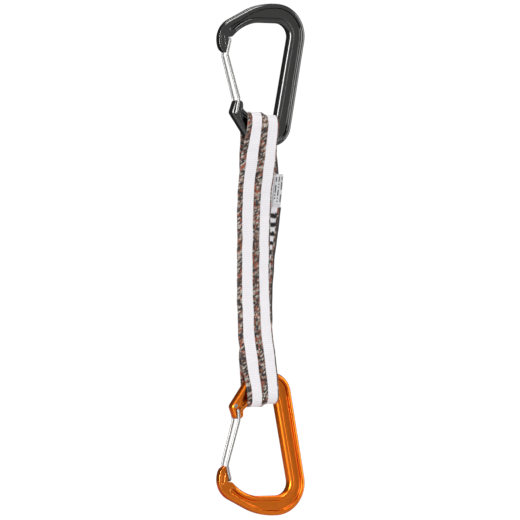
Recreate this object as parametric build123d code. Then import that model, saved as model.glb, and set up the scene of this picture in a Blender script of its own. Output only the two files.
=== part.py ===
from build123d import *
from math import cos, radians, sin, tan
import os

os.makedirs("parts", exist_ok=True)

# A climbing quickdraw: two wire-gate carabiners joined by a sewn tape sling folded in three.
# It hangs in its own frame: X across the carabiners from gate to spine, Y through their
# thickness with -Y the front, and Z up. The origin is the point under the upper carabiner's
# top bar that hangs on a bolt hanger. All sizes are in millimetres.

# Carabiner rod. Each corner of an outline is (x, z, radius).
BODY_THICKNESS = 8.6
EDGE_ROUND = 2.3
ROD_CORNERS = [
    (-29.6, -22.4, 2.3),
    (-33.5, -21.2, 2.3),
    (-38.0, -4.1, 16),
    (-4.0, 13.7, 45),
    (35.8, 13.7, 22.3),
    (18.0, -86.3, 15.5),
    (-9.6, -86.3, 19),
    (-25.9, -63.2, 3),
    (-22.8, -54.3, 2.4),
    (-16.7, -54.6, 2.7),
    (-16.7, -60.2, 1.5),
    (-7.6, -68.5, 8),
    (8.1, -69.4, 6),
    (21.25, 0, 9),
    (-14.3, 0, 30),
    (-27.0, -12.3, 1.2),
]

# I-section pockets, one in each face of the rod.
POCKET_DEPTH = 2.4
POCKET_FLOOR_ROUND = 1.0
POCKET_RIM_ROUND = 0.6
POCKET_CORNERS = [
    (-28.3, -4.2, 1.6),
    (-3.2, 10.4, 42),
    (31.9, 10.4, 19),
    (15.2, -83.0, 12),
    (-7.8, -83.0, 15.7),
    (-20.3, -64.2, 1.4),
    (-17.6, -62.8, 1.2),
    (-7.6, -71.9, 5),
    (10.8, -72.6, 8),
    (25.1, 3.1, 12),
    (-15.6, 3.1, 29),
    (-26.0, -7.0, 1.4),
]

# The rod thins smoothly towards its two ends: the knuckle that the gate pivots in, and the nose.
# Each taper starts at a point (x, z), runs along a heading in degrees and reaches to both sides.
KNUCKLE_THICKNESS = 7.6
KNUCKLE_TAPER_START = (-18.6, -69.9)
KNUCKLE_TAPER_HEADING = 125.3
KNUCKLE_TAPER_LENGTH = 5.0
NOSE_THICKNESS = 5.2
NOSE_TAPER_START = (-28.3, -0.6)
NOSE_TAPER_HEADING = 235.0
NOSE_TAPER_LENGTH = 8.0
TAPER_REACH = 14.0
TAPER_RUN = 24.0

# The nose's tip below BEAK_TOP_Z is cut to a beak, with a shallow recess in each face.
BEAK_TOP_Z = -15.0
BEAK_CORNERS = [
    (-29.4, -22.3, 1.0),
    (-33.9, -19.6, 6.5),
    (-38.5, -2.0, 8),
    (-26.0, -2.0, 1),
    (-25.0, -12.0, 1),
]
NOSE_RECESS_LENGTH = 8.0
NOSE_RECESS_WIDTH = 2.6
NOSE_RECESS_DEPTH = 0.6
NOSE_RECESS_CENTRE = (-32.2, -13.4)
NOSE_RECESS_TILT = 99

# Gate: one bent wire. One end is the pivot stub right through the knuckle, the other end is a
# short stub in a curved slot, and both legs meet in a crossbar that latches behind the nose.
WIRE_RADIUS = 1.0
LEG_Y = 4.5
LATCH_Y = 3.8
PIVOT = (-23.0, -63.5)
SHORT_STUB = (-21.3, -60.5)
LEG_BEND = (-20.9, -53.5)
DOG_LEG = (-29.9, -22.5)
LATCH = (-27.3, -12.0)
LATCH_EXIT = (-24.0, -11.8)
STUB_BEND = 1.2
LEG_BEND_RADIUS = 6
DOG_LEG_RADIUS = 5
LATCH_BEND = 1.8
SHORT_STUB_END = 2.2
PEEN_RADIUS = 1.35
PEEN_HEIGHT = 0.4
PEEN_ROUND = 0.3
PEEN_GAP = 0.05
GATE_OPENING = 30
SWEEP_STEP = 10
RUNNING_FIT = 0.07
SLOT_CLEARANCE = 0.4
SLOT_FLOOR = 3.1

# Sling: one loop of tape folded in three. Its lower half mirrors the upper half about MIDDLE_Z.
# The tape is in three stretches, so that it can bend beside each bar: the bights over the two
# small ends, and the strands between them. A bight's edges are (left, right), over the bar and at
# its front and back ends. Strand edges are (z, left, right) from the top down.
MIDDLE_Z = -165.2
TAPE = 1.3
REACH = 40.0
INNER_Y = 4.7
OUTER_Y = 6.2
BIGHT_ROUND = 2.6
BIGHT_SPLAY_Z = -66.0
BIGHT_END_Z = -93.6
INSIDE_LOOP = dict(inner_top=-67.6, top=(-7.0, 5.0), front_end=(-10.0, 3.0), back_end=(-10.5, 1.0))
LEFT_LOOP = dict(inner_top=-63.5, top=(-12.8, -2.2), front_end=(-19.2, -6.3), back_end=(-15.0, -2.4))
RIGHT_LOOP = dict(inner_top=-65.4, top=(-1.9, 8.4), front_end=(-6.0, 5.7), back_end=(1.8, 14.8))
STRAND_END_Z = -96.0
LAYER_GAP = 0.2
FRONT_MIDDLE_Y = -2.0
BACK_MIDDLE_Y = 1.6
FRONT_LEFT = [(-96, -19.4, -6.3), (-115, -20.8, -8.1), (-165.2, -20.2, -8.3)]
FRONT_RIGHT = [(-96, -6.0, 5.6), (-115, -7.8, 3.2), (-165.2, -8.0, 2.4)]
FRONT_INNER = [(-96, -10.0, 3.0), (-165.2, -14.0, -1.0)]
BACK_INNER = [(-96, -10.5, 0.9), (-165.2, -13.5, -1.0)]
BACK_LEFT = [(-96, -15.0, -2.4), (-165.2, -14.6, -3.0)]
BACK_RIGHT = [
    (-96, 1.8, 14.8),
    (-110, 2.2, 15.2),
    (-129, 3.0, 16.0),
    (-151, -0.9, 12.0),
    (-165, -2.8, 9.8),
    (-183, -2.8, 8.6),
    (-234.4, -2.2, 9.4),
]

# The sewn lap in the back right run, its bar tacks, and the label sewn on above it. The label is
# a sleeve pressed flat, and a row of stitches near its lower end holds it.
LAP_SPAN = (-128.8, -180.0)
TACK_COUNT = 7
TACK_TOP_Z = -132.7
TACK_PITCH = 6.4
TACK_HEIGHT = 3.6
TACK_MARGIN = 3.0
TACK_PROUD = 0.35
LABEL_SPAN = (-105.3, -128.6)
LABEL_TOP = (12.2, 18.6)
LABEL_BOTTOM = (8.6, 15.6)
LABEL_WALL = 0.5
LABEL_HOLLOW = 0.2
LABEL_GAP = 0.1
LABEL_BORE_OVERRUN = 1.0
STITCH_COUNT = 5
STITCH_Z = -126.9
STITCH_LENGTH = 0.8
STITCH_PITCH = 1.25
STITCH_WIDTH = 0.4
STITCH_PROUD = 0.25
SEAM_INSET = 0.5


def rounded_face(corners):
    """A closed outline of (x, z, radius) corners, each rounded by an arc, as a face."""
    arcs = []
    for index, (x, z, radius) in enumerate(corners):
        here = Vector(x, z)
        back = (Vector(*corners[index - 1][:2]) - here).normalized()
        ahead = (Vector(*corners[(index + 1) % len(corners)][:2]) - here).normalized()
        half = radians(back.get_angle(ahead)) / 2
        middle = here + (back + ahead).normalized() * (radius / sin(half) - radius)
        reach = radius / tan(half)
        arcs.append(ThreePointArc(here + back * reach, middle, here + ahead * reach))
    lines = [Line(arcs[index - 1] @ 1, arc @ 0) for index, arc in enumerate(arcs)]
    return make_face(arcs + lines)


def prism(face, start, end):
    """Extrude a face drawn in (x, z) between two heights in y."""
    low, high = sorted((start, end))
    return extrude(Plane.XZ.offset(-high) * face, amount=high - low)


def faces_at(solid, y):
    """The flat faces that a solid has at one height in y."""
    return solid.faces().filter_by(lambda face: abs(face.center().Y - y) < 0.01)


def gate_point(point, angle):
    """Where a point (x, z) of the gate is after the gate has opened by an angle."""
    x, z = point[0] - PIVOT[0], point[1] - PIVOT[1]
    a = radians(angle)
    return (PIVOT[0] + x * cos(a) + z * sin(a), PIVOT[1] + z * cos(a) - x * sin(a))


def swept_face(points, radius):
    """The face that a wire of this radius covers as the gate opens."""
    steps = range(0, GATE_OPENING + 1, SWEEP_STEP)
    spots = [gate_point(point, angle) for point in points for angle in steps]
    return make_hull([Pos(*spot) * Circle(radius).edge() for spot in spots])


def rod():
    """The bent rod with rounded edges and a pocket with a rounded rim sunk in each face."""
    half = BODY_THICKNESS / 2
    body = prism(rounded_face(ROD_CORNERS), -half, half)
    body = fillet(body.faces().filter_by(Axis.Y).edges(), EDGE_ROUND)
    floor = half - POCKET_DEPTH
    for side in (1, -1):
        pocket = prism(rounded_face(POCKET_CORNERS), side * floor, side * BODY_THICKNESS)
        body -= fillet(faces_at(pocket, side * floor).edges(), POCKET_FLOOR_ROUND)
    rims = [
        edge
        for side in (1, -1)
        for face in faces_at(body, side * half)
        for wire in face.inner_wires()
        for edge in wire.edges()
    ]
    return fillet(rims, POCKET_RIM_ROUND)


def tapers(start, heading, length, thickness):
    """What is cut from both faces to thin the rod smoothly to a thickness beyond a start."""
    turn = radians(heading)
    along = Plane((start[0], 0, start[1]), x_dir=(cos(turn), 0, sin(turn)), z_dir=(-sin(turn), 0, cos(turn)))
    cuts = []
    for side in (1, -1):
        thick, thin, clear = side * BODY_THICKNESS / 2, side * thickness / 2, side * BODY_THICKNESS
        slope = Spline((0, thick), (length, thin), tangents=((1, 0), (1, 0)))
        rest = Polyline((length, thin), (TAPER_RUN, thin), (TAPER_RUN, clear), (0, clear), (0, thick))
        cuts.append(extrude(along * make_face([slope, rest]), amount=TAPER_REACH, both=True))
    return cuts


def beak_cut():
    """What is cut from the rod's end to leave the nose's beak."""
    spots = [(-REACH, BEAK_TOP_Z), LATCH, (LATCH[0], -REACH), (-REACH, -REACH)]
    end = prism(make_face(Polyline(*spots, close=True)), -BODY_THICKNESS, BODY_THICKNESS)
    return end - prism(rounded_face(BEAK_CORNERS), -BODY_THICKNESS, BODY_THICKNESS)


def nose_cuts():
    """What is cut from the nose: a shallow recess in each face, and the latch notch."""
    half = NOSE_THICKNESS / 2
    recess = Pos(*NOSE_RECESS_CENTRE) * Rot(0, 0, NOSE_RECESS_TILT) * SlotOverall(
        NOSE_RECESS_LENGTH, NOSE_RECESS_WIDTH
    )
    notch = WIRE_RADIUS + SLOT_CLEARANCE
    ends = [Pos(*spot) * Circle(notch).edge() for spot in (LATCH, LATCH_EXIT)]
    cuts = [prism(make_hull(ends), -BODY_THICKNESS, BODY_THICKNESS)]
    for side in (1, -1):
        cuts.append(prism(recess, side * (half - NOSE_RECESS_DEPTH), side * BODY_THICKNESS))
    return cuts


def gate_slots():
    """The hole and slots that the gate's stubs and legs turn in."""
    fit = WIRE_RADIUS + RUNNING_FIT
    slot = WIRE_RADIUS + SLOT_CLEARANCE
    hole = prism(Pos(*PIVOT) * Circle(fit), -KNUCKLE_THICKNESS, KNUCKLE_THICKNESS)
    stub_slot = prism(swept_face([SHORT_STUB], slot), SHORT_STUB_END - SLOT_CLEARANCE, LEG_Y)
    front_fan = prism(swept_face([PIVOT, LEG_BEND], slot), -SLOT_FLOOR, -KNUCKLE_THICKNESS)
    back_fan = prism(swept_face([SHORT_STUB, LEG_BEND], slot), SLOT_FLOOR, KNUCKLE_THICKNESS)
    return [hole, stub_slot, front_fan, back_fan]


def carabiner_body():
    """One carabiner body, upper way up."""
    body = rod()
    knuckle_taper = KNUCKLE_TAPER_START, KNUCKLE_TAPER_HEADING, KNUCKLE_TAPER_LENGTH
    nose_taper = NOSE_TAPER_START, NOSE_TAPER_HEADING, NOSE_TAPER_LENGTH
    thinning = tapers(*knuckle_taper, KNUCKLE_THICKNESS) + tapers(*nose_taper, NOSE_THICKNESS)
    for cut in thinning + nose_cuts() + gate_slots() + [beak_cut()]:
        body -= cut
    return body


def gate_wire():
    """The gate's wire, closed, upper way up."""
    head = KNUCKLE_THICKNESS / 2 + PEEN_GAP
    route = [
        (*PIVOT, head),
        (*PIVOT, -LEG_Y),
        (*LEG_BEND, -LEG_Y),
        (*DOG_LEG, -LATCH_Y),
        (*LATCH, -LATCH_Y),
        (*LATCH, LATCH_Y),
        (*DOG_LEG, LATCH_Y),
        (*LEG_BEND, LEG_Y),
        (*SHORT_STUB, LEG_Y),
        (*SHORT_STUB, SHORT_STUB_END),
    ]
    bends = [STUB_BEND, LEG_BEND_RADIUS, DOG_LEG_RADIUS, LATCH_BEND]
    path = FilletPolyline([(x, y, z) for x, z, y in route], radius=bends + bends[::-1])
    peen = prism(Pos(*PIVOT) * Circle(PEEN_RADIUS), head, head + PEEN_HEIGHT)
    peen = fillet(peen.edges().group_by(Axis.Y)[-1], PEEN_ROUND)
    return sweep(Plane(path @ 0, z_dir=path % 0) * Circle(WIRE_RADIUS), path=path) + peen


def turned_over(solid):
    """The same solid as the lower carabiner holds it: half a turn about X at mid-length."""
    return Pos(0, 0, MIDDLE_Z) * Rot(180, 0, 0) * Pos(0, 0, -MIDDLE_Z) * solid


def u_band(inner_y, inner_top):
    """A band of tape over the small end, as a profile in (y, z) swept right across X."""
    width, height = 2 * inner_y, inner_top - BIGHT_END_Z
    inner = Pos(0, BIGHT_END_Z + height / 2) * Rectangle(width, height)
    outer = Pos(0, BIGHT_END_Z + (height + TAPE) / 2) * Rectangle(width + 2 * TAPE, height + TAPE)
    inner = fillet(inner.vertices().group_by(Axis.Y)[-1], BIGHT_ROUND)
    outer = fillet(outer.vertices().group_by(Axis.Y)[-1], BIGHT_ROUND + TAPE)
    return extrude(Plane.YZ.offset(-REACH) * (outer - inner), amount=2 * REACH)


def bight(inner_y, inner_top, top, front_end, back_end):
    """One bight: its left and right edges are top over the bar and lead to the strands below."""
    band = u_band(inner_y, inner_top)
    halves = []
    for end, side in ((front_end, -1), (back_end, 1)):
        left = [(top[0], 0), (top[0], BIGHT_SPLAY_Z), (end[0], BIGHT_END_Z)]
        right = [(end[1], BIGHT_END_Z), (top[1], BIGHT_SPLAY_Z), (top[1], 0)]
        halves.append(band & prism(make_face(Polyline(*left, *right, close=True)), 0, side * REACH))
    return halves[0] + halves[1]


def ribbon(end_y, middle_y, thickness):
    """A layer bowed in (y, z) from end_y beside the bars to middle_y at mid-length, right across X."""
    top, bottom = STRAND_END_Z, 2 * MIDDLE_Z - STRAND_END_Z
    near = ThreePointArc((end_y, top), (middle_y, MIDDLE_Z), (end_y, bottom))
    far_end, far_middle = end_y + thickness, middle_y + thickness
    far = ThreePointArc((far_end, top), (far_middle, MIDDLE_Z), (far_end, bottom))
    ends = [Line(near @ 0, far @ 0), Line(near @ 1, far @ 1)]
    return extrude(Plane.YZ.offset(-REACH) * make_face([near, far, *ends]), amount=2 * REACH)


def strip(layer, edges):
    """The part of a layer between left and right edges given as (z, left, right) from the top down."""
    left = [(edge[1], edge[0]) for edge in edges]
    right = [(edge[2], edge[0]) for edge in reversed(edges)]
    return layer & prism(make_face(Polyline(*left, *right, close=True)), -REACH, REACH)


def mirrored(edges):
    """The edges of a strand's upper half with their mirror image added below."""
    lower = [(2 * MIDDLE_Z - z, left, right) for z, left, right in reversed(edges[:-1])]
    return edges + lower


def edges_at(edges, z):
    """The left and right edges of a strand at one height."""
    for (z0, left0, right0), (z1, left1, right1) in zip(edges, edges[1:]):
        if z1 <= z <= z0:
            t = (z0 - z) / (z0 - z1)
            return left0 + t * (left1 - left0), right0 + t * (right1 - right0)
    raise ValueError(z)


def upper_bights():
    """The three bights over the upper carabiner's small end: one inside and two side by side."""
    return bight(INNER_Y, **INSIDE_LOOP) + bight(OUTER_Y, **LEFT_LOOP) + bight(OUTER_Y, **RIGHT_LOOP)


def strands():
    """The six runs of tape between the bights, and the lap where the tape's two ends are sewn."""
    front = -OUTER_Y - TAPE, FRONT_MIDDLE_Y - TAPE
    runs = [
        strip(ribbon(*front, TAPE), mirrored(FRONT_LEFT)),
        strip(ribbon(*front, TAPE), mirrored(FRONT_RIGHT)),
        strip(ribbon(-INNER_Y - TAPE, FRONT_MIDDLE_Y + LAYER_GAP, TAPE), mirrored(FRONT_INNER)),
        strip(ribbon(INNER_Y, BACK_MIDDLE_Y - TAPE - LAYER_GAP, TAPE), mirrored(BACK_INNER)),
        strip(ribbon(OUTER_Y, BACK_MIDDLE_Y, TAPE), mirrored(BACK_LEFT)),
        strip(ribbon(OUTER_Y, BACK_MIDDLE_Y, TAPE), BACK_RIGHT),
        strip(lap_layer(TAPE, TAPE), cut_edges(BACK_RIGHT, *LAP_SPAN, 0)),
    ]
    return Compound(children=[solid for run in runs for solid in run.solids()])


def lap_layer(offset_y, thickness):
    """A layer that follows the back right run at an offset in y from its front face."""
    return ribbon(OUTER_Y + offset_y, BACK_MIDDLE_Y + offset_y, thickness)


def cut_edges(edges, top, bottom, margin):
    """A strand's edges between two heights, moved out on both sides by a margin."""
    levels = [top] + [z for z, _, _ in edges if bottom < z < top] + [bottom]
    spans = [(z, *edges_at(edges, z)) for z in levels]
    return [(z, left - margin, right + margin) for z, left, right in spans]


def tacks():
    """The bar tacks: bars of thread across the lap, standing proud of both of its faces."""
    bars = []
    for index in range(TACK_COUNT):
        top = TACK_TOP_Z - index * TACK_PITCH
        edges = cut_edges(BACK_RIGHT, top, top - TACK_HEIGHT, -TACK_MARGIN)
        for offset_y in (-TACK_PROUD, 2 * TAPE):
            bars.append(strip(lap_layer(offset_y, TACK_PROUD), edges))
    return Compound(children=[solid for bar in bars for solid in bar.solids()])


def label():
    """The label: a woven sleeve pressed flat, which lies on the front of the back right run."""
    top, bottom = LABEL_SPAN
    wall, thickness = LABEL_WALL, 2 * LABEL_WALL + LABEL_HOLLOW
    outer = strip(lap_layer(-LABEL_GAP - thickness, thickness), [(top, *LABEL_TOP), (bottom, *LABEL_BOTTOM)])
    bore = strip(
        lap_layer(-LABEL_GAP - wall - LABEL_HOLLOW, LABEL_HOLLOW),
        [
            (top + LABEL_BORE_OVERRUN, LABEL_TOP[0] + wall, LABEL_TOP[1] - wall),
            (bottom - LABEL_BORE_OVERRUN, LABEL_BOTTOM[0] + wall, LABEL_BOTTOM[1] - wall),
        ],
    )
    return outer - bore


def label_stitches():
    """The seam that holds the label: a row of stitches across its lower end, and behind the run."""
    front = -LABEL_GAP - 2 * LABEL_WALL - LABEL_HOLLOW - STITCH_PROUD
    stitches = []
    for index in range(STITCH_COUNT):
        left = LABEL_BOTTOM[0] + SEAM_INSET + index * STITCH_PITCH
        edges = [(STITCH_Z + side * STITCH_WIDTH / 2, left, left + STITCH_LENGTH) for side in (1, -1)]
        stitches += [strip(lap_layer(offset_y, STITCH_PROUD), edges) for offset_y in (front, TAPE)]
    return Compound(children=[solid for stitch in stitches for solid in stitch.solids()])


def mirrored_down(solid):
    """The mirror image of a solid below mid-length."""
    return mirror(solid, about=Plane.XY.offset(MIDDLE_Z))


body = carabiner_body()
wire = gate_wire()
bights = upper_bights()
nodes = {
    "upper_carabiner_body": body,
    "upper_gate_wire": wire,
    "lower_carabiner_body": turned_over(body),
    "lower_gate_wire": turned_over(wire),
    "sling_upper_bights": bights,
    "sling_strands": strands(),
    "sling_lower_bights": mirrored_down(bights),
    "bar_tacks": tacks(),
    "label_sleeve": label(),
    "label_stitches": label_stitches(),
}
for name, solid in nodes.items():
    export_step(solid, f"parts/{name}.step")
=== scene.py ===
import math

import bpy
import numpy as np
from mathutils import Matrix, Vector


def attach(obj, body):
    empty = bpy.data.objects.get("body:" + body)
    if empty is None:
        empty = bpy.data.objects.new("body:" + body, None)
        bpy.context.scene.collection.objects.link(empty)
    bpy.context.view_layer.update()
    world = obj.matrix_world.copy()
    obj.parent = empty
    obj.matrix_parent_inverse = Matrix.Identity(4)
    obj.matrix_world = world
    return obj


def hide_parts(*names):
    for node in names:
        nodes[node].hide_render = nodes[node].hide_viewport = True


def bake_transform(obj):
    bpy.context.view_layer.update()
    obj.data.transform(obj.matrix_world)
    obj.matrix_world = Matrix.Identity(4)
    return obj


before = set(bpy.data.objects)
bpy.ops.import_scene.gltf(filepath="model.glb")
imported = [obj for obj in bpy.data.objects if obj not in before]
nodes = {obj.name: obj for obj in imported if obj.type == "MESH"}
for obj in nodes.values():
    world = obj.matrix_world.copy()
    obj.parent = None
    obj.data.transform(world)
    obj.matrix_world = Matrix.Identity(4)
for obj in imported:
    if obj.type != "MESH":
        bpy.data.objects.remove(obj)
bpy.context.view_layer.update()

MM = 0.001

# ---------------------------------------------------------------- camera, light and floor

VIEW_AZIMUTH = math.radians(-27)
VIEW_DISTANCE = 2.5
VIEW_HEIGHT = 0.363
VIEW_TARGET = Vector((-0.00235, 0, -0.1656))
TO_CAMERA = Vector((math.sin(VIEW_AZIMUTH), -math.cos(VIEW_AZIMUTH), 0))
SENSOR = 36.0

WHITE_SURROUND = 1.05
STUDIO_DARK = 0.14
STUDIO_LIGHT = 0.72
STUDIO_RISE = 0.45
STUDIO_SPREAD = 0.9

FLOOR_Z = -0.42
FLOOR_RADIUS = 0.6
FLOOR_SIDES = 96
FLOOR_COLOR = (0.86, 0.86, 0.86, 1)
FLOOR_ROUGHNESS = 0.9

# Area lights: name, position, size, power, and whether metal mirrors it or it lights the cloth.
AREA_LIGHTS = [
    ("left_box", (-1.7, -0.4, 0.1), (0.9, 1.6), 78, True),
    ("right_box", (1.5, -0.8, 0.0), (0.5, 1.6), 20, True),
    ("top_box", (-0.2, -0.6, 1.7), (1.4, 0.6), 30, True),
    ("back_box", (0.5, 1.3, 1.3), (1.6, 0.7), 30, True),
    ("front_fill", (0.3, -2.4, 0.5), (1.4, 1.4), 20, False),
    ("left_fill", (-2.2, -0.9, 0.4), (1.4, 1.4), 15, False),
    ("top_fill", (0.2, -0.4, 2.2), (1.4, 1.4), 12, False),
    ("back_fill", (0.4, 2.4, 0.6), (1.4, 1.4), 32, False),
]


def link(name, data):
    """A new object in the scene that holds this camera, light or mesh."""
    made = bpy.data.objects.new(name, data)
    bpy.context.scene.collection.objects.link(made)
    return made


def make_camera():
    """A long lens level with the middle of the draw, a little to the gates' side of its front."""
    data = bpy.data.cameras.new("camera")
    data.sensor_width = SENSOR
    data.lens = SENSOR * VIEW_DISTANCE / VIEW_HEIGHT
    camera = link("camera", data)
    camera.location = VIEW_TARGET + TO_CAMERA * VIEW_DISTANCE
    camera.rotation_euler = (-TO_CAMERA).to_track_quat("-Z", "Y").to_euler()
    bpy.context.scene.camera = camera


def make_area_light(name, position, size, power, mirrored):
    """A soft box that faces the middle of the draw: metal mirrors it, or it lights the cloth."""
    data = bpy.data.lights.new(name, "AREA")
    data.shape = "RECTANGLE"
    data.size, data.size_y = size
    data.energy = power
    light = link(name, data)
    light.location = position
    light.rotation_euler = (VIEW_TARGET - Vector(position)).to_track_quat("-Z", "Y").to_euler()
    light.visible_glossy = mirrored
    light.visible_diffuse = not mirrored


def make_world():
    """A white surround to look at, and a grey studio, darker behind and below, for its light."""
    world = bpy.data.worlds.new("studio")
    world.use_nodes = True
    tree = world.node_tree
    tree.nodes.clear()
    white = tree.nodes.new("ShaderNodeBackground")
    white.inputs["Strength"].default_value = WHITE_SURROUND
    white.inputs["Color"].default_value = (1, 1, 1, 1)
    studio = tree.nodes.new("ShaderNodeBackground")
    facing = tree.nodes.new("ShaderNodeVectorMath")
    facing.operation = "DOT_PRODUCT"
    facing.inputs[1].default_value = (TO_CAMERA.x, TO_CAMERA.y, STUDIO_RISE)
    where = tree.nodes.new("ShaderNodeTexCoord")
    ramp = tree.nodes.new("ShaderNodeMapRange")
    ramp.interpolation_type = "SMOOTHSTEP"
    ramp.inputs["From Min"].default_value = -STUDIO_SPREAD
    ramp.inputs["From Max"].default_value = STUDIO_SPREAD
    ramp.inputs["To Min"].default_value = STUDIO_DARK
    ramp.inputs["To Max"].default_value = STUDIO_LIGHT
    path = tree.nodes.new("ShaderNodeLightPath")
    mix = tree.nodes.new("ShaderNodeMixShader")
    out = tree.nodes.new("ShaderNodeOutputWorld")
    tree.links.new(where.outputs["Generated"], facing.inputs[0])
    tree.links.new(facing.outputs["Value"], ramp.inputs["Value"])
    tree.links.new(ramp.outputs["Result"], studio.inputs["Strength"])
    tree.links.new(path.outputs["Is Camera Ray"], mix.inputs[0])
    tree.links.new(studio.outputs[0], mix.inputs[1])
    tree.links.new(white.outputs[0], mix.inputs[2])
    tree.links.new(mix.outputs[0], out.inputs["Surface"])
    bpy.context.scene.world = world
    bpy.context.scene.view_settings.view_transform = "Standard"


def make_floor():
    """A plain pale disc below the hanging draw."""
    bpy.ops.mesh.primitive_circle_add(
        vertices=FLOOR_SIDES, radius=FLOOR_RADIUS, fill_type="NGON", location=(0, 0, FLOOR_Z)
    )
    floor = bpy.context.object
    floor.name = "floor"
    material = bpy.data.materials.new("floor")
    material.use_nodes = True
    shader = material.node_tree.nodes["Principled BSDF"]
    shader.inputs["Base Color"].default_value = FLOOR_COLOR
    shader.inputs["Roughness"].default_value = FLOOR_ROUGHNESS
    floor.data.materials.append(material)


# ---------------------------------------------------------------- materials

SOFT_EDGE = 0.0006
SOFT_EDGE_SAMPLES = 16
EDGE_TURN = (0.01, 0.16)
RIDGE_POINTINESS = (0.49, 0.52)
# Patches where ridges are painted paler: partly rubbed wear, partly a painted highlight.
RUBBED_HIGHLIGHT_PATCHES = (0.2, 0.6)
# Concave edges are painted darker, a painted shade: how strongly, and how dark.
GROOVE_SHADE_STRENGTH = 0.85
GROOVE_SHADE_TONE = 0.25
BODY_PATCH_SCALE = 60
WIRE_PATCH_SCALE = 90
METAL_GRAIN_SCALE = 900
METAL_GRAIN_HEIGHT = 0.000002
ROUGHNESS_SPREAD = 0.12
COAT_ROUGHNESS = 0.1
WIRE_DARK = (0.19, 0.188, 0.185, 1)
WIRE_LIGHT = (0.27, 0.267, 0.263, 1)
WIRE_ROUGHNESS = 0.42


class Graph:
    """A few short ways to add nodes to one material."""

    def __init__(self, name):
        self.material = bpy.data.materials.new(name)
        self.material.use_nodes = True
        self.tree = self.material.node_tree
        self.shader = self.tree.nodes["Principled BSDF"]

    def set(self, **values):
        """Set the shader's own sockets to constants, or link them."""
        for name, value in values.items():
            self.put(value, self.shader.inputs[name.replace("_", " ")])
        return self

    def put(self, value, socket):
        """Link a socket, or set a constant."""
        if isinstance(value, bpy.types.NodeSocket):
            self.tree.links.new(value, socket)
        else:
            socket.default_value = value

    def node(self, kind, values=(), **settings):
        """Add a node with settings and inputs given by index or name."""
        made = self.tree.nodes.new(kind)
        for name, value in settings.items():
            setattr(made, name, value)
        for key, value in dict(values).items():
            self.put(value, made.inputs[key])
        return made

    def math(self, operation, a, b=0.0, c=0.0):
        """One math node's result."""
        return self.node("ShaderNodeMath", {0: a, 1: b, 2: c}, operation=operation).outputs[0]

    def times(self, a, b):
        """The product of two values."""
        return self.math("MULTIPLY", a, b)

    def scaled(self, value, factor, offset):
        """A value times a factor, plus an offset."""
        return self.math("MULTIPLY_ADD", value, factor, offset)

    def rest(self, value):
        """One minus a value."""
        return self.math("SUBTRACT", 1.0, value)

    def mix(self, share, a, b):
        """A mix of two colours."""
        made = self.node("ShaderNodeMix", {"Factor": share}, data_type="RGBA")
        self.put(a, made.inputs["A"])
        self.put(b, made.inputs["B"])
        return made.outputs["Result"]

    def step(self, value, low, high):
        """A smooth step from 0 at low to 1 at high."""
        values = {"Value": value, "From Min": low, "From Max": high}
        return self.node("ShaderNodeMapRange", values, interpolation_type="SMOOTHSTEP").outputs["Result"]

    def noise(self, scale, detail, vector):
        """A noise texture's value."""
        values = {"Scale": scale, "Detail": detail, "Vector": vector}
        return self.node("ShaderNodeTexNoise", values).outputs["Fac"]

    def pick(self, column, row):
        """A random value for each cell of a grid."""
        cell = self.node("ShaderNodeCombineXYZ", {0: column, 1: row}).outputs[0]
        noise = self.node("ShaderNodeTexWhiteNoise", {"Vector": cell}, noise_dimensions="2D")
        return noise.outputs["Value"]

    def position(self):
        """The position on the piece, in metres."""
        return self.node("ShaderNodeTexCoord").outputs["Object"]

    def marks(self):
        """The share across a woven piece, and the length along it in millimetres."""
        weave = self.node("ShaderNodeUVMap", uv_map="weave").outputs[0]
        split = self.node("ShaderNodeSeparateXYZ", {0: weave})
        return split.outputs[0], self.times(split.outputs[1], 1 / MARK_SCALE)

    def bump(self, height, distance, normal=None):
        """Give the shader a bump of a height in metres, on top of another normal if one is given."""
        made = self.node("ShaderNodeBump", {"Height": height, "Distance": distance})
        if normal is not None:
            self.put(normal, made.inputs["Normal"])
        self.set(Normal=made.outputs["Normal"])


def anodised(name, base, worn_and_highlight, edge_on, roughness, coat):
    """Dyed anodised aluminium: satin, finely grained, with softened edges: ridges painted paler (partly
    rubbed wear, partly a painted highlight) and grooves painted darker (painted shade).
    """
    graph = Graph(name)
    graph.set(Metallic=1.0, Coat_Weight=coat, Coat_Roughness=COAT_ROUGHNESS, Specular_Tint=edge_on)
    where = graph.position()
    patches = graph.noise(BODY_PATCH_SCALE, 4, where)
    geometry = graph.node("ShaderNodeNewGeometry")
    soft = graph.node("ShaderNodeBevel", {"Radius": SOFT_EDGE}, samples=SOFT_EDGE_SAMPLES).outputs[0]
    normals = {0: soft, 1: geometry.outputs["Normal"]}
    alike = graph.node("ShaderNodeVectorMath", normals, operation="DOT_PRODUCT").outputs["Value"]
    edge = graph.step(graph.rest(alike), *EDGE_TURN)
    ridge = graph.step(geometry.outputs["Pointiness"], *RIDGE_POINTINESS)
    # Ridges painted paler: partly rubbed wear, partly a painted highlight along the edges.
    rubbed_and_highlight = graph.times(graph.times(edge, ridge), graph.step(patches, *RUBBED_HIGHLIGHT_PATCHES))
    # Painted shade: concave edges (grooves) darkened towards a shaded copy of the base colour.
    groove_shade = graph.times(graph.times(edge, graph.rest(ridge)), GROOVE_SHADE_STRENGTH)
    shaded = tuple(GROOVE_SHADE_TONE * part for part in base[:3]) + (1,)
    graph.set(Base_Color=graph.mix(rubbed_and_highlight, graph.mix(groove_shade, base, shaded), worn_and_highlight))
    graph.set(Roughness=graph.scaled(patches, ROUGHNESS_SPREAD, roughness - ROUGHNESS_SPREAD / 2))
    graph.bump(graph.noise(METAL_GRAIN_SCALE, 2, where), METAL_GRAIN_HEIGHT, soft)
    return graph.material


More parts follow.
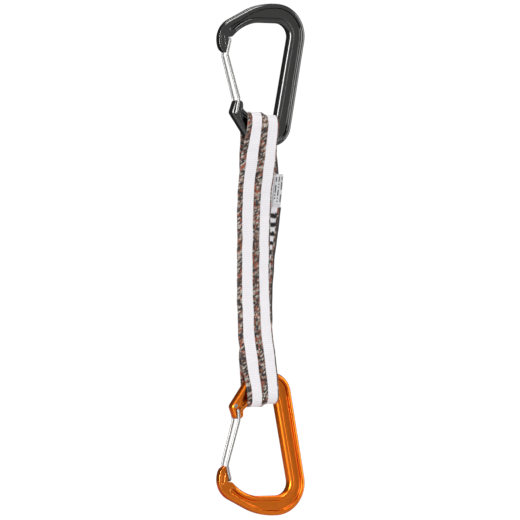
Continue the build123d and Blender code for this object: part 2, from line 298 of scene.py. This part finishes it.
def wire_steel():
    """Drawn stainless wire: smooth and grey, with slow changes of tone along it."""
    graph = Graph("stainless_wire").set(Metallic=1.0)
    where = graph.position()
    patches = graph.noise(WIRE_PATCH_SCALE, 3, where)
    graph.set(Base_Color=graph.mix(patches, WIRE_DARK, WIRE_LIGHT))
    graph.set(Roughness=graph.scaled(patches, ROUGHNESS_SPREAD, WIRE_ROUGHNESS))
    graph.bump(graph.noise(METAL_GRAIN_SCALE, 2, where), METAL_GRAIN_HEIGHT)
    return graph.material


def paint(node, material):
    """Give a CAD node a finished material."""
    data = nodes[node].data
    data.materials.clear()
    data.materials.append(material)


# ---------------------------------------------------------------- tape

# Heights and edges are in millimetres, and they repeat the CAD's.
MIDDLE_Z = -165.2
STRAND_REACH = 69.2
TAPE_WIDTH = 13.2
HALF_TAPE = 0.65

# Edges of each run as (height, left, right): the CAD's bights, then its strands.
LEFT_FRONT = [
    (-66, -12.8, -2.2),
    (-93.6, -19.2, -6.3),
    (-96, -19.4, -6.3),
    (-115, -20.8, -8.1),
    (-165.2, -20.2, -8.3),
]
RIGHT_FRONT = [
    (-66, -1.9, 8.4),
    (-93.6, -6.0, 5.7),
    (-96, -6.0, 5.6),
    (-115, -7.8, 3.2),
    (-165.2, -8.0, 2.4),
]
INNER_FRONT = [(-66, -7.0, 5.0), (-93.6, -10.0, 3.0), (-96, -10.0, 3.0), (-165.2, -14.0, -1.0)]
INNER_BACK = [(-66, -7.0, 5.0), (-93.6, -10.5, 1.0), (-96, -10.5, 0.9), (-165.2, -13.5, -1.0)]
LEFT_BACK = [(-66, -12.8, -2.2), (-93.6, -15.0, -2.4), (-96, -15.0, -2.4), (-165.2, -14.6, -3.0)]
RIGHT_BACK = [
    (-66, -1.9, 8.4),
    (-93.6, 1.8, 14.8),
    (-96, 1.8, 14.8),
    (-110, 2.2, 15.2),
    (-129, 3.0, 16.0),
    (-151, -0.9, 12.0),
    (-165, -2.8, 9.8),
    (-183, -2.8, 8.6),
]
RIGHT_LOW = [(-234.4, -2.2, 9.4), (-264.4, -1.9, 8.4)]
LEFT_TOP = (-12.8, -2.2)
RIGHT_TOP = (-1.9, 8.4)
INNER_TOP = (-7.0, 5.0)
LAP_TOP = -128.8
LAP_BOTTOM = -180.0

# A layer's distance from the middle plane, beside the bars and at mid-length.
OUTER_FRONT_Y = (-6.85, -2.65)
OUTER_BACK_Y = (6.85, 2.25)
INNER_FRONT_Y = (-5.35, -0.7)
INNER_BACK_Y = (5.35, 0.75)
LAP_REAR_Y = (6.85, 3.6)

# A ring's crown over the bar, and the height of the arch that it makes there.
LEFT_CROWN_Z = -62.85
RIGHT_CROWN_Z = -64.75
INNER_CROWN_Z = -66.95
OUTER_ARCH = 9.0
INNER_ARCH = 7.0
ARCH_STATIONS = 90
ARCH_POWER = 2 / 2.5

# The weave, and how the mesh follows it. Stations along the tape are STEP apart.
STEP = 0.3
RIB_PITCH = 1.35
WARP_PITCH = 0.6
TWILL_PITCH = 1.35
FLECK_LENGTH = 3.1
FLECKED_SHARE = 0.23
PLAIN_RIB = 0.03
TWILL_RIB = 0.09
TIP_RIB = 0.1
TIP_REACH = 0.55
TIP_SHARE = 0.51
EDGE_THINNING = 0.62
EDGE_BLUNTNESS = 14
TWILL_START = 0.53
TWILL_RAMP = 0.04
HEM_RAMP = 0.05
HEM_LEAST = 0.3
SHARP_ANGLE = math.radians(80)
ACROSS = np.array([0, 2, 5, 9, 13, 17, 21, 25, 32, 41, 50, 59, 68, 75, 79, 83, 87, 91, 95, 98, 100]) / 100
MARK_SCALE = 0.1

# How the tape's edges curl and lift, how its rows of stations are smoothed, and where it wavers.
CURL_RADIUS = 1.1
LEFT_CURL = (0.07, 0.12)
RIGHT_CURL = (0, FLECKED_SHARE)
RIGHT_LIFT = 0.9
LIFTED_SHARE = 0.42
LIFT_POWER = 1.5
SPREADS = (5, 5, 16, 16, 20, 20, 20)
WAVER_REACH = 96
WAVER_SPREAD = 30
WAVER_DEPTH = 0.16
WAVER_SIDEWAYS = 0.3
WAVER_SHIFT = 1.7
DEPTH_WAVES = (31, 19, 47)
LEFT_WAVES = (23, 41, 13)
RIGHT_WAVES = (29, 17, 53)


def over(rows):
    """The same run below mid-length: its rows turned upside down."""
    return [(2 * MIDDLE_Z - z, left, right) for z, left, right in rows]


def bowed(z, at_bar, at_middle):
    """How far a layer stands off the middle plane at a height: it bows in towards mid-length."""
    share = np.clip(np.abs(z - MIDDLE_Z) / STRAND_REACH, 0, 1)
    return at_middle + (at_bar - at_middle) * share**2


def edges_at(rows, z):
    """A run's left and right edges at a height, or at each of several."""
    table = np.array(sorted(rows))
    return [np.interp(z, table[:, 0], table[:, column]) for column in (1, 2)]


def run(start, end, layer, rows, curl=(0, 0), lift=0.0):
    """Stations down or up one run: y, z, left, right, curled shares at left and right, and lift."""
    z = np.linspace(start, end, max(int(abs(end - start) / STEP), 2))
    at_bar, at_middle = layer
    depth = np.sign(at_bar) * bowed(z, abs(at_bar), abs(at_middle))
    rest = [np.full_like(z, value) for value in (*curl, lift)]
    return np.array([depth, z, *edges_at(rows, z), *rest])


def arch(reach, top, height, edges, turn, curl=(0, 0), lift=0.0):
    """Stations over a bar, a blunt arch: front to back above mid-length (turn 1), back to front below it.

    Edges are the left and right edges where the arch starts, at its crown and where it ends.
    """
    angle = np.linspace(0, np.pi, ARCH_STATIONS)[1:-1]
    cosine, sine = np.cos(angle), np.sin(angle)
    y = -turn * reach * np.sign(cosine) * np.abs(cosine) ** ARCH_POWER
    z = top - height + height * np.abs(sine) ** ARCH_POWER
    if turn < 0:
        z = 2 * MIDDLE_Z - z
    left, right = (np.interp(angle, (0, np.pi / 2, np.pi), [edge[k] for edge in edges]) for k in (0, 1))
    rest = [np.full_like(z, value) for value in (*curl, lift)]
    return np.array([y, z, left, right, *rest])


def smoothed(values, spread, closed):
    """Values smoothed along the tape by a bell curve of this spread in stations."""
    reach = int(3 * spread)
    kernel = np.exp(-0.5 * (np.arange(-reach, reach + 1) / spread) ** 2)
    padding = {"mode": "wrap"} if closed else {"mode": "reflect", "reflect_type": "odd"}
    return np.convolve(np.pad(values, reach, **padding), kernel / kernel.sum(), mode="valid")


def even(parts, closed):
    """Join parts of a path, space the stations evenly and smooth them; adds length along the tape.

    A closed ring's length is stretched to whole twill pitches, so that its weave meets itself.
    """
    path = np.concatenate(parts, axis=1)
    if closed:
        path = np.concatenate([path, path[:, :1]], axis=1)
    length = np.concatenate([[0], np.cumsum(np.hypot(np.diff(path[0]), np.diff(path[1])))])
    total = length[-1]
    at = np.linspace(0, total, int(total / STEP), endpoint=not closed)
    path = np.array([np.interp(at, length, row) for row in path])
    path = np.array([smoothed(row, spread, closed) for row, spread in zip(path, SPREADS)])
    marks = at * round(total / TWILL_PITCH) * TWILL_PITCH / total if closed else at
    return np.concatenate([path, marks[None]], axis=0)


def wander(along, seed, size, lengths):
    """A gentle, fixed waver along the tape, the sum of waves of a few lengths."""
    shifts = [seed * (k + WAVER_SHIFT) for k in range(len(lengths))]
    waves = [np.sin(2 * np.pi * along / length + shift) for length, shift in zip(lengths, shifts)]
    return size * sum(waves) / len(lengths)


def middle_line(path):
    """The tape's own curve at every station: points across it, in x and in depth behind its face."""
    _, _, left, right, curl_left, curl_right, lift, _ = path
    low, high = curl_left[:, None], 1 - curl_right[:, None]
    share = np.clip((ACROSS - low) / (high - low), 0, 1)
    bend_right = np.clip(ACROSS - high, 0, 1) * TAPE_WIDTH / CURL_RADIUS
    bend_left = np.clip(low - ACROSS, 0, 1) * TAPE_WIDTH / CURL_RADIUS
    flat = left[:, None] + (right - left)[:, None] * share
    x = flat + CURL_RADIUS * (np.sin(bend_right) - np.sin(bend_left))
    depth = CURL_RADIUS * (2 - np.cos(bend_right) - np.cos(bend_left))
    lifted = (1 - np.clip(ACROSS / LIFTED_SHARE, 0, 1)) ** LIFT_POWER
    return x, depth - lift[:, None] * lifted


def ribs(along, edge):
    """The height of the weave: fine cross ribs in the middle, and diagonal yarns along the edges."""
    hem = np.clip((1 - edge) / HEM_RAMP, HEM_LEAST, 1)
    flecked = np.clip((edge - TWILL_START) / TWILL_RAMP, 0, 1) * hem
    plain = PLAIN_RIB * np.cos(2 * np.pi * along / RIB_PITCH)
    twill = TWILL_RIB * np.cos(2 * np.pi * (along - ACROSS * TAPE_WIDTH) / TWILL_PITCH)
    return plain * (1 - flecked) + twill * flecked


def section(path):
    """Rings of points round the tape at every station, and their (across, along) marks."""
    y, z, along = path[0], path[1], path[-1]
    travel = np.array([np.gradient(y), np.gradient(z)])
    travel /= np.linalg.norm(travel, axis=0)
    x, depth = middle_line(path)
    lean_x, lean_depth = np.gradient(x, axis=1), np.gradient(depth, axis=1)
    size = np.hypot(lean_x, lean_depth)
    lean_x, lean_depth = lean_x / size, lean_depth / size
    edge = np.abs(2 * ACROSS - 1)
    out = HALF_TAPE * np.sqrt(1 - EDGE_THINNING * edge**EDGE_BLUNTNESS) + ribs(along[:, None], edge)
    share = ACROSS + 0 * x
    rounds = []
    for side, column, way, order in ((-1, -1, 1, slice(None)), (1, 0, -1, slice(None, None, -1))):
        face = (x - side * lean_depth * out, depth + side * lean_x * out, share)
        rounds.append([values[:, order] for values in face])
        reach = way * (TIP_REACH * HALF_TAPE + TIP_RIB * np.cos(2 * np.pi * along / TWILL_PITCH))
        tip_x = x[:, column] + reach * lean_x[:, column]
        tip_depth = depth[:, column] + reach * lean_depth[:, column]
        tip_share = np.full_like(tip_x, 0.5 + TIP_SHARE * way)
        rounds.append([values[:, None] for values in (tip_x, tip_depth, tip_share)])
    x, depth, share = (np.concatenate([part[k] for part in rounds], axis=1) for k in range(3))
    rings = [x, y[:, None] + travel[1][:, None] * depth, z[:, None] - travel[0][:, None] * depth]
    marks = [share, np.broadcast_to(along[:, None], share.shape)]
    return np.stack(rings, axis=2), np.stack(marks, axis=2)


def tubes_object(name, tubes, material, marks=None):
    """One mesh of several tubes with closed ends, each an array of rings of points in millimetres.

    Marks, if given, are each point's share across and length along, for a woven material.
    """
    faces, start = [], 0
    for rings in tubes:
        rows, around = rings.shape[:2]
        index = start + np.arange(rows * around).reshape(rows, around)
        ahead = np.roll(index, -1, axis=1)
        faces += np.stack([index[:-1], ahead[:-1], ahead[1:], index[1:]], axis=2).reshape(-1, 4).tolist()
        faces += [index[0][::-1].tolist(), index[-1].tolist()]
        start += rows * around
    mesh = bpy.data.meshes.new(name)
    points = np.concatenate([rings.reshape(-1, 3) * MM for rings in tubes])
    mesh.from_pydata(points.tolist(), [], faces)
    if marks is not None:
        corners = np.empty(len(mesh.loops), int)
        mesh.loops.foreach_get("vertex_index", corners)
        places = np.concatenate([rows.reshape(-1, 2) for rows in marks]) * (1, MARK_SCALE)
        layer = mesh.uv_layers.new(name="weave")
        layer.data.foreach_set("uv", places[corners].astype(np.float32).ravel())
    mesh.polygons.foreach_set("use_smooth", [len(face) == 4 for face in faces])
    mesh.materials.append(material)
    return link(name, mesh)


def tape_object(name, paths, material):
    """One mesh of several stretches of tape."""
    sections = [section(path) for path in paths]
    rings, marks = zip(*sections)
    made = tubes_object(name, rings, material, marks)
    made.data.set_sharp_from_angle(angle=SHARP_ANGLE)
    return made


def ring_path(layers, front, back, crown, top, height, curl=(0, 0)):
    """A closed ring of tape, from the front at mid-length up, over the bar, down the back and up again."""
    front_layer, back_layer = layers
    reach, start = back_layer[0], top - height
    end = 2 * MIDDLE_Z - start
    upper = [edges_at(front, start), crown, edges_at(back, start)]
    lower = [edges_at(back, end), crown, edges_at(front, end)]
    parts = [
        run(MIDDLE_Z, start, front_layer, front, curl=curl),
        arch(reach, top, height, upper, 1, curl=curl),
        run(start, end, back_layer, back),
        arch(reach, top, height, lower, -1, curl=curl),
        run(end, MIDDLE_Z, front_layer, front, curl=curl),
    ]
    return even(parts, True)


def right_path():
    """The right-hand ring, which is open: it starts and ends in the sewn lap at the back."""
    reach, start = OUTER_BACK_Y[0], RIGHT_CROWN_Z - OUTER_ARCH
    end = 2 * MIDDLE_Z - start
    shape = {"curl": RIGHT_CURL, "lift": RIGHT_LIFT}
    front, low_back = RIGHT_FRONT + over(RIGHT_FRONT), RIGHT_BACK + RIGHT_LOW
    upper = [edges_at(front, start), RIGHT_TOP, edges_at(RIGHT_BACK, start)]
    lower = [edges_at(low_back, end), RIGHT_TOP, edges_at(front, end)]
    parts = [
        run(LAP_TOP, end, OUTER_BACK_Y, low_back),
        arch(reach, RIGHT_CROWN_Z, OUTER_ARCH, lower, -1, **shape),
        run(end, start, OUTER_FRONT_Y, front, **shape),
        arch(reach, RIGHT_CROWN_Z, OUTER_ARCH, upper, 1, **shape),
        run(start, LAP_BOTTOM, LAP_REAR_Y, RIGHT_BACK),
    ]
    return even(parts, False)


def wavered(path, seed):
    """The same path with the small unevenness of a used sling."""
    path = path.copy()
    calm = smoothed((np.abs(path[1] - MIDDLE_Z) < WAVER_REACH).astype(float), WAVER_SPREAD, False)
    path[0] += calm * wander(path[-1], seed, WAVER_DEPTH, DEPTH_WAVES)
    path[2] += calm * wander(path[-1], seed + 1, WAVER_SIDEWAYS, LEFT_WAVES)
    path[3] += calm * wander(path[-1], seed + 2, WAVER_SIDEWAYS, RIGHT_WAVES)
    return path


def middle_station(path, side):
    """The station nearest mid-length on the front (side -1) or the back (side 1) of a ring."""
    return int(np.argmin(np.where(side * path[0] > 0, np.abs(path[1] - MIDDLE_Z), np.inf)))


def halves(path):
    """A closed ring's upper and lower half, both reaching mid-length."""
    back = middle_station(path, 1)
    end = path[:, :1].copy()
    end[-1] = path[-1, -1] + STEP
    return path[:, : back + 1], np.concatenate([path[:, back:], end], axis=1)


# Tape colours. A fleck's colour is picked by where a random value falls among the stops.
PLAIN_DARK = (0.77, 0.745, 0.785, 1)
PLAIN_LIGHT = (0.93, 0.905, 0.925, 1)
# The near-black between yarns is painted shade in the gaps.
YARN_GAP_SHADE = (0.006, 0.004, 0.003, 1)
YARNS = (
    (0.0, (0.008, 0.005, 0.004, 1)),
    (0.26, (0.08, 0.028, 0.015, 1)),
    (0.42, (0.24, 0.09, 0.045, 1)),
    (0.56, (0.36, 0.30, 0.25, 1)),
    (0.72, (0.38, 0.075, 0.022, 1)),
    (0.86, (0.58, 0.50, 0.43, 1)),
)
FLECKED_BLUR = 0.006
# The right edge of each tape is painted darker with the darkest yarn colours: a painted shadow where the
# next strand lies over it.
SHADOW_MARGIN = (0.88, 0.92)
SHADOW_MARGIN_STRENGTH = 0.8
LOBE_POWER = 0.45
LOBE_END_POWER = 0.2
TAPE_PATCH_SCALE = 180
TAPE_PATCHES = 0.3
TAPE_ROUGHNESS = 0.82
YARN_ROUGHNESS_CHANGE = -0.12
TAPE_BUMP = 0.00008


def wave(graph, along, pitch):
    """A wave between 0 and 1 with this pitch."""
    return graph.scaled(graph.math("COSINE", graph.times(along, 2 * math.pi / pitch)), 0.5, 0.5)


def hump(graph, value, power):
    """A hump in each whole step of a value, 0 where steps meet and 1 in the middle."""
    sine = graph.math("SINE", graph.times(graph.math("FRACT", value), math.pi))
    return graph.math("POWER", sine, power)


def flecked_yarns(graph, share, across, along):
    """Diagonal yarns in short lengths of random colours: their colour and their height. The gaps between
    yarns are painted near-black (painted shade), and the right edge darker (painted shadow).
    """
    rank = graph.math("DIVIDE", graph.math("SUBTRACT", along, across), TWILL_PITCH)
    row = graph.math("FLOOR", rank)
    phase = graph.node("ShaderNodeTexWhiteNoise", {"W": row}, noise_dimensions="1D").outputs["Value"]
    lengths = graph.math("DIVIDE", graph.math("ADD", along, across), FLECK_LENGTH)
    reach = graph.math("ADD", lengths, phase)
    pick = graph.pick(graph.math("FLOOR", reach), row)
    # Painted shadow: near the right edge the yarn colour is picked from the darker stops.
    shadow_margin = graph.rest(graph.times(graph.step(share, *SHADOW_MARGIN), SHADOW_MARGIN_STRENGTH))
    ramp = graph.node("ShaderNodeValToRGB", {0: graph.times(pick, shadow_margin)})
    ramp.color_ramp.interpolation = "CONSTANT"
    first, second = ramp.color_ramp.elements
    first.color = YARNS[0][1]
    second.position, second.color = YARNS[1]
    for position, color in YARNS[2:]:
        ramp.color_ramp.elements.new(position).color = color
    # Where the lobes fall to nothing, between yarns, the colour goes near-black: painted shade; lobe is
    # also the yarns' height.
    lobe = graph.times(hump(graph, rank, LOBE_POWER), hump(graph, reach, LOBE_END_POWER))
    return graph.mix(lobe, YARN_GAP_SHADE, ramp.outputs[0]), lobe


def tape_fabric():
    """Woven tape: a plain white middle with fine cross ribs, painted darker in their troughs (painted
    shade), and flecked twill edges.
    """
    graph = Graph("white_tape").set(Sheen_Weight=0.25, Sheen_Roughness=0.4)
    share, along = graph.marks()
    across = graph.times(share, TAPE_WIDTH)
    off = graph.math("ABSOLUTE", graph.math("SUBTRACT", share, 0.5))
    border = 0.5 - FLECKED_SHARE
    flecked = graph.step(off, border - FLECKED_BLUR, border + FLECKED_BLUR)
    twill, lobe = flecked_yarns(graph, share, across, along)

    # The plain middle's colour follows the weave's height: ribs painted darker in their troughs (painted
    # shade), mixed with random patches of tone.
    rib, warp = wave(graph, along, RIB_PITCH), wave(graph, across, WARP_PITCH)
    weave = graph.scaled(graph.times(rib, warp), 0.5, graph.times(rib, 0.5))
    patches = graph.noise(TAPE_PATCH_SCALE, 3, graph.position())
    tone_and_shade = graph.scaled(patches, TAPE_PATCHES, graph.times(weave, 1 - TAPE_PATCHES))
    plain = graph.mix(tone_and_shade, PLAIN_DARK, PLAIN_LIGHT)

    graph.set(Base_Color=graph.mix(flecked, plain, twill))
    graph.set(Roughness=graph.scaled(flecked, YARN_ROUGHNESS_CHANGE, TAPE_ROUGHNESS))
    height = graph.math("ADD", graph.times(weave, graph.rest(flecked)), graph.times(lobe, flecked))
    graph.bump(height, TAPE_BUMP)
    return graph.material


# ---------------------------------------------------------------- thread and label

# These places and counts repeat the CAD's, in millimetres.
TACK_COUNT = 7
TACK_TOP_Z = -132.7
TACK_PITCH = 6.4
TACK_HEIGHT = 3.6
TACK_MARGIN = 3.0
LABEL_TOP_Z = -105.3
LABEL_BOTTOM_Z = -128.6
LABEL_TOP = (12.2, 18.6)
LABEL_BOTTOM = (8.6, 15.6)
STITCH_COUNT = 5
STITCH_Z = -126.9
STITCH_LENGTH = 0.8
STITCH_PITCH = 1.25
SEAM_INSET = 0.5

# Sewing thread.
THREAD_SIDES = 8
THREAD_SCALE = 1500
THREAD_BUMP = 0.00006
THREAD_ROUGHNESS = 0.5
THREAD_ROUGHNESS_SPREAD = 0.2
FIBRE_CONTRAST = (0.35, 0.65)
TACK_DARK = (0.003, 0.003, 0.003, 1)
TACK_LIGHT = (0.016, 0.015, 0.015, 1)
SEAM_DARK = (0.45, 0.44, 0.43, 1)
SEAM_LIGHT = (0.75, 0.74, 0.72, 1)
TACK_STROKE = 0.3
TACK_THREAD = 0.22
TACK_SIDEWAYS = 0.08
TACK_UNEVENNESS = (-0.55, 0.45)
TACK_SEED = 7
STROKE_END = 0.1
STROKE_POINTS = 6
SEAM_THREAD = 0.16
SEAM_ARCH = 0.22
SEAM_SINK = 0.06
SEAM_SLANT = 0.1
SEAM_POINTS = 9

# The label's own shape and weave. LABEL_TUCK is how far it goes on under the lap.
LABEL_TUCK = 2.9
LABEL_HALF = 0.42
LABEL_STANDOFF = 0.5
LABEL_CORNER = 1.3
LABEL_CORNER_STATIONS = 14
LABEL_STEP = 0.2
LABEL_AROUND = 56
LABEL_SIDE_POWER = 0.35
LABEL_FACE_POWER = 0.6
LABEL_WAVER = 0.12
LABEL_WAVER_LENGTH = 5
LABEL_SWELL = 0.06
LABEL_SWELL_LENGTH = 3.1
LABEL_LIP = 0.45
LABEL_LIP_LENGTH = 1.2
LABEL_RIB = 0.03
LABEL_RIB_PITCH = 0.55
LABEL_WARPS = 14
LABEL_PATCH_SCALE = 260
LABEL_PATCHES = 0.6
LABEL_ROUGHNESS = 0.8
DASH_ROUGHNESS_CHANGE = -0.1
LABEL_BUMP = 0.00004
LABEL_DARK = (0.56, 0.56, 0.58, 1)
LABEL_LIGHT = (0.86, 0.86, 0.87, 1)
DASH_COLOR = (0.025, 0.025, 0.028, 1)
DASH_ROWS = 3.0
DASH_EDGE = (0.16, 0.24)
DASH_PITCH = 1.1
DASH_GAPS = 0.3
DASHES_START = (1.8, 2.0)
DASHES_END = (19.6, 19.8)


def face_y(layer, z, side):
    """The depth of a lap layer's front face (side -1) or rear face (side 1) at a height."""
    return float(bowed(z, *layer)) + side * HALF_TAPE


def thread_rings(points, radius):
    """The rings of a round thread along a line of points."""
    line = np.array(points)
    ahead = np.gradient(line, axis=0)
    ahead /= np.linalg.norm(ahead, axis=1)[:, None]
    first = np.cross(ahead, (0.0, 1.0, 0.0))
    first /= np.linalg.norm(first, axis=1)[:, None]
    second = np.cross(ahead, first)
    turn = np.linspace(0, 2 * np.pi, THREAD_SIDES, endpoint=False)[None, :, None]
    return line[:, None] + radius * (np.cos(turn) * first[:, None] + np.sin(turn) * second[:, None])


def bar_tack(index, layer, side, random):
    """One bar tack on a face of the lap: thread zigzags across it, high in the middle of each stroke."""
    top = TACK_TOP_Z - index * TACK_PITCH
    left, right = edges_at(RIGHT_BACK, top - TACK_HEIGHT / 2)
    left, right = left + TACK_MARGIN, right - TACK_MARGIN
    strokes = int((right - left) / TACK_STROKE)
    ends = []
    for stroke in range(strokes + 1):
        x = left + (right - left) * stroke / strokes + random.uniform(-TACK_SIDEWAYS, TACK_SIDEWAYS)
        height = top - (stroke % 2) * TACK_HEIGHT + random.uniform(*TACK_UNEVENNESS)
        ends.append((x, height))
    line = []
    for (x, z), (next_x, next_z) in zip(ends[:-1], ends[1:]):
        for share in np.arange(STROKE_POINTS) / STROKE_POINTS:
            here = z + (next_z - z) * share
            out = TACK_THREAD * (STROKE_END + (1 - STROKE_END) * math.sin(math.pi * share))
            line.append((x + (next_x - x) * share, face_y(layer, here, side) + side * out, here))
    return line


def make_tacks(material):
    """Seven bar tacks through the lap, seen on its front and its rear."""
    random = np.random.default_rng(TACK_SEED)
    lines = []
    for index in range(TACK_COUNT):
        lines.append(bar_tack(index, OUTER_BACK_Y, -1, random))
        lines.append(bar_tack(index, LAP_REAR_Y, 1, random))
    return tubes_object("bar_tack_thread", [thread_rings(line, TACK_THREAD) for line in lines], material)


def label_edges(z):
    """The label's left and right edges at a height, its top corners rounded."""
    levels = (LABEL_BOTTOM_Z, LABEL_TOP_Z)
    left, right = (np.interp(z, levels, (LABEL_BOTTOM[k], LABEL_TOP[k])) for k in (0, 1))
    into = np.clip(LABEL_CORNER - (LABEL_TOP_Z - z), 0, LABEL_CORNER)
    inset = LABEL_CORNER - np.sqrt(LABEL_CORNER**2 - into**2)
    return left + inset, right - inset


def blunt(values, power):
    """Values of a sine or cosine, flattened towards -1 and 1."""
    return np.sign(values) * np.abs(values) ** power


def make_label(material):
    """The folded woven label: pressed flat, a little uneven in thickness, and finely ribbed."""
    corner = LABEL_CORNER * (1 - np.cos(np.linspace(0, np.pi / 2, LABEL_CORNER_STATIONS)))
    straight = np.arange(
        LABEL_TOP_Z - LABEL_CORNER - LABEL_STEP, LABEL_BOTTOM_Z - LABEL_TUCK, -LABEL_STEP
    )
    z = np.concatenate([LABEL_TOP_Z - corner, straight])
    left, right = label_edges(z)
    waver = LABEL_WAVER * np.sin((z - LABEL_TOP_Z) / LABEL_WAVER_LENGTH)
    middle = bowed(z, *LAP_REAR_Y) - HALF_TAPE - LABEL_STANDOFF + waver
    turn = np.linspace(0, 2 * np.pi, LABEL_AROUND, endpoint=False)
    across, thick = blunt(np.cos(turn), LABEL_SIDE_POWER), blunt(np.sin(turn), LABEL_FACE_POWER)
    from_top = (LABEL_TOP_Z - z)[:, None]
    rib = LABEL_RIB * np.cos(2 * np.pi * from_top / LABEL_RIB_PITCH)
    half = LABEL_HALF + LABEL_SWELL * np.sin(from_top / LABEL_SWELL_LENGTH)
    half = half * np.clip(LABEL_LIP + from_top / LABEL_LIP_LENGTH, 0, 1)
    x = ((left + right) / 2)[:, None] + ((right - left) / 2)[:, None] * across[None, :]
    y = middle[:, None] + (half + rib) * thick[None, :]
    rings = np.stack([x, y, np.broadcast_to(z[:, None], x.shape)], axis=2)
    marks = np.stack([(0.5 + 0.5 * across)[None, :] + 0 * x, from_top + 0 * x], axis=2)
    return tubes_object("woven_label", [rings], material, [marks])


def make_label_seam(material):
    """The row of stitches near the label's lower end, and the same row behind the tape."""
    front = face_y(LAP_REAR_Y, STITCH_Z, -1) - LABEL_STANDOFF - LABEL_HALF
    rear = face_y(LAP_REAR_Y, STITCH_Z, 1)
    stitches = []
    for stitch in range(STITCH_COUNT):
        left = LABEL_BOTTOM[0] + SEAM_INSET + stitch * STITCH_PITCH
        for face, side in ((front, -1), (rear, 1)):
            line = []
            for share in np.linspace(0, 1, SEAM_POINTS):
                out = SEAM_ARCH * math.sin(math.pi * share) - SEAM_SINK
                height = STITCH_Z + SEAM_SLANT * (share - 0.5)
                line.append((left + STITCH_LENGTH * share, face + side * out, height))
            stitches.append(thread_rings(line, SEAM_THREAD))
    return tubes_object("label_seam_thread", stitches, material)


def thread_fibre(name, dark, light, sheen):
    """Twisted sewing thread: fibres of two close tones, slightly shiny."""
    graph = Graph(name).set(Sheen_Weight=sheen, Sheen_Roughness=0.3, Specular_IOR_Level=0.25)
    fibres = graph.noise(THREAD_SCALE, 3, graph.position())
    graph.set(Base_Color=graph.mix(graph.step(fibres, *FIBRE_CONTRAST), dark, light))
    graph.set(Roughness=graph.scaled(fibres, THREAD_ROUGHNESS_SPREAD, THREAD_ROUGHNESS))
    graph.bump(fibres, THREAD_BUMP)
    return graph.material


def label_cloth():
    """Pale grey woven label with rows of plain dashes in a darker grey."""
    graph = Graph("label_fabric").set(Sheen_Weight=0.2)
    share, along = graph.marks()
    rows = graph.times(share, DASH_ROWS)
    centred = graph.math("ABSOLUTE", graph.math("SUBTRACT", graph.math("FRACT", rows), 0.5))
    in_row = graph.rest(graph.step(centred, *DASH_EDGE))
    dash = graph.math("FLOOR", graph.math("DIVIDE", along, DASH_PITCH))
    present = graph.math("GREATER_THAN", graph.pick(graph.math("FLOOR", rows), dash), DASH_GAPS)
    framed = graph.times(graph.step(along, *DASHES_START), graph.rest(graph.step(along, *DASHES_END)))
    mark = graph.times(graph.times(in_row, present), framed)

    # The label's colour follows its weave's height: ribs painted darker where they dip (painted shade),
    # mixed with random patches of tone.
    weft = graph.math("COSINE", graph.times(along, 2 * math.pi / LABEL_RIB_PITCH))
    warp = graph.math("COSINE", graph.times(share, 2 * math.pi * LABEL_WARPS))
    weave = graph.scaled(graph.times(weft, warp), 0.5, 0.5)
    patches = graph.noise(LABEL_PATCH_SCALE, 3, graph.position())
    tone_and_shade = graph.scaled(patches, LABEL_PATCHES, graph.times(weave, 1 - LABEL_PATCHES))
    cloth = graph.mix(tone_and_shade, LABEL_DARK, LABEL_LIGHT)

    graph.set(Base_Color=graph.mix(mark, cloth, DASH_COLOR))
    graph.set(Roughness=graph.scaled(mark, DASH_ROUGHNESS_CHANGE, LABEL_ROUGHNESS))
    graph.bump(weave, LABEL_BUMP)
    return graph.material


# ---------------------------------------------------------------- the scene

make_camera()
make_world()
for light in AREA_LIGHTS:
    make_area_light(*light)
make_floor()

# Each metal's pale edge colour is partly rubbed wear and partly a painted highlight.
black = anodised(
    "black_anodised",
    base=(0.062, 0.062, 0.061, 1),
    worn_and_highlight=(0.2, 0.2, 0.2, 1),
    edge_on=(0.3, 0.3, 0.3, 1),
    roughness=0.22,
    coat=0.5,
)
orange = anodised(
    "orange_anodised",
    base=(0.68, 0.155, 0.011, 1),
    worn_and_highlight=(0.95, 0.42, 0.10, 1),
    edge_on=(0.35, 0.10, 0.01, 1),
    roughness=0.3,
    coat=0.08,
)
steel = wire_steel()
paint("upper_carabiner_body", black)
paint("lower_carabiner_body", orange)
paint("upper_gate_wire", steel)
paint("lower_gate_wire", steel)

weave = tape_fabric()
left_ring = ring_path(
    (OUTER_FRONT_Y, OUTER_BACK_Y),
    LEFT_FRONT + over(LEFT_FRONT),
    LEFT_BACK + over(LEFT_BACK),
    LEFT_TOP,
    LEFT_CROWN_Z,
    OUTER_ARCH,
    curl=LEFT_CURL,
)
inner_ring = ring_path(
    (INNER_FRONT_Y, INNER_BACK_Y),
    INNER_FRONT + over(INNER_FRONT),
    INNER_BACK + over(INNER_BACK),
    INNER_TOP,
    INNER_CROWN_Z,
    INNER_ARCH,
)
right_ring = wavered(right_path(), 4.0)
left_upper, left_lower = halves(wavered(left_ring, 1.0))
inner_upper, inner_lower = halves(inner_ring)
front_middle = middle_station(right_ring, -1)
right_lower, right_upper = right_ring[:, : front_middle + 1], right_ring[:, front_middle:]
tape_upper = tape_object("tape_upper", [left_upper, inner_upper, right_upper], weave)
tape_lower = tape_object("tape_lower", [left_lower, inner_lower, right_lower], weave)
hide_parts("sling_upper_bights", "sling_strands")
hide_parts("sling_lower_bights")
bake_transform(tape_upper)
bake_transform(tape_lower)

tacks = make_tacks(thread_fibre("tack_thread", TACK_DARK, TACK_LIGHT, sheen=0.05))
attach(tacks, "sling")
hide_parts("bar_tacks")

woven_label = make_label(label_cloth())
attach(woven_label, "sling")
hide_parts("label_sleeve")

seam = make_label_seam(thread_fibre("label_thread", SEAM_DARK, SEAM_LIGHT, sheen=0.3))
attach(seam, "sling")
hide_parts("label_stitches")
